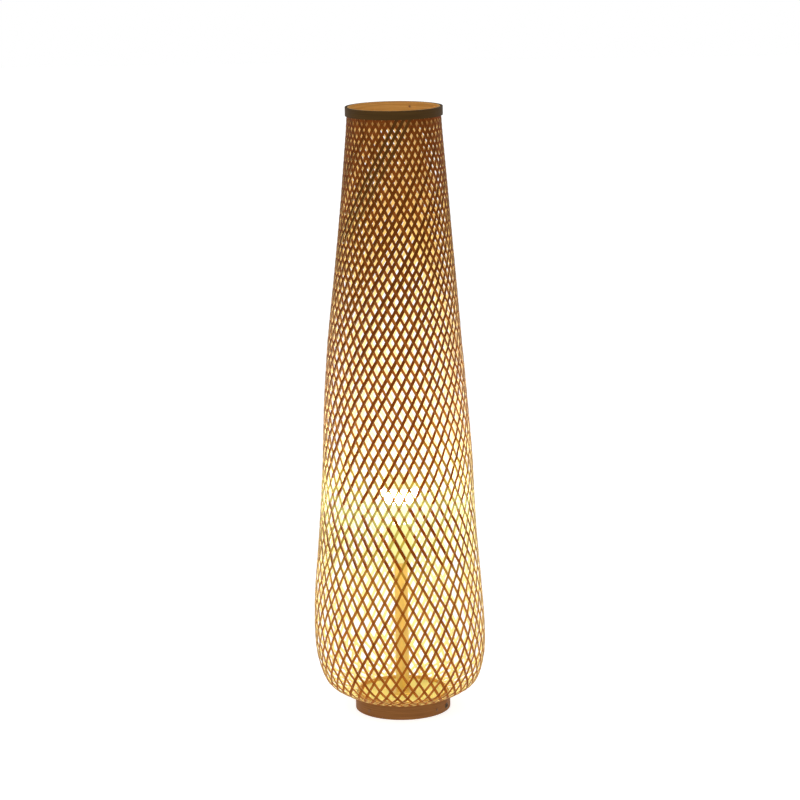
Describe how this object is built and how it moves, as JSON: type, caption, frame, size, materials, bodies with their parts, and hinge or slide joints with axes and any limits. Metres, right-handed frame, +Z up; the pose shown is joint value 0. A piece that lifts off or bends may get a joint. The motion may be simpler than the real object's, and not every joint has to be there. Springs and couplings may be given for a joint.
{
  "type": "floor lamp",
  "caption": "Tall bulged floor lamp with an open-topped shade of crossed bamboo strips round a screw-in bulb on a post.",
  "frame": {"origin": "on the floor, under the middle of the lamp", "axes": "+Z up the lamp's axis, -Y to its front, the cable's bush 25 degrees from +X towards -Y"},
  "size_m": [0.2816, 0.2816, 1],
  "materials": {
    "bamboo_weave": "split bamboo strips, warm brown, light shows through",
    "hoop_dark": "bent bamboo hoop, dark stained",
    "hoop_light": "bent bamboo hoop, natural",
    "hoop_foot": "bent bamboo hoop, reddish brown",
    "base_wood": "pale plywood",
    "iron": "rough cast iron",
    "steel": "zinc plated steel",
    "dark_steel": "browned steel",
    "brass": "plain brass",
    "rubber": "soft black rubber",
    "black_plastic": "matt black plastic",
    "white_metal": "white painted tube",
    "white_plastic": "white thermoset plastic",
    "ceramic": "glazed white ceramic",
    "aluminium": "thin pressed aluminium",
    "bulb_glass": "frosted warm white glass, lit",
    "clear_glass": "clear glass",
    "filament": "yellow phosphor sticks"
  },
  "bodies": {
    "lamp": {"woven_shade": "bamboo_weave", "top_hoop_outer": "hoop_dark", "top_hoop_inner": "hoop_light", "top_hoop_nails": "dark_steel", "foot_hoop_outer": "hoop_foot", "foot_hoop_inner": "hoop_light", "foot_screws": "dark_steel", "base_board": "base_wood", "base_weight": "iron", "weight_screws": "steel", "rubber_feet": "rubber", "cable_bush": "black_plastic", "threaded_tube": "steel", "clamp_washer": "steel", "clamp_nut": "brass", "post_seat": "white_metal", "post_tube": "white_metal", "post_collar": "white_metal", "holder_cap": "white_plastic", "holder_shell": "white_plastic", "holder_core": "ceramic", "screw_shell": "brass", "centre_contact": "brass", "side_contact": "brass", "terminal_screws": "brass"},
    "bulb": {"bulb_contact": "steel", "bulb_insulator": "black_plastic", "bulb_cap": "aluminium", "bulb_glass": "bulb_glass", "bulb_stem": "clear_glass", "bulb_filaments": "filament", "filament_frame": "steel"}
  },
  "joints": [
    {"name": "bulb_lift", "type": "slide", "parent": "lamp", "child": "bulb", "axis": [0, 0, 1], "range_m": [0, 0.74]}
  ]
}
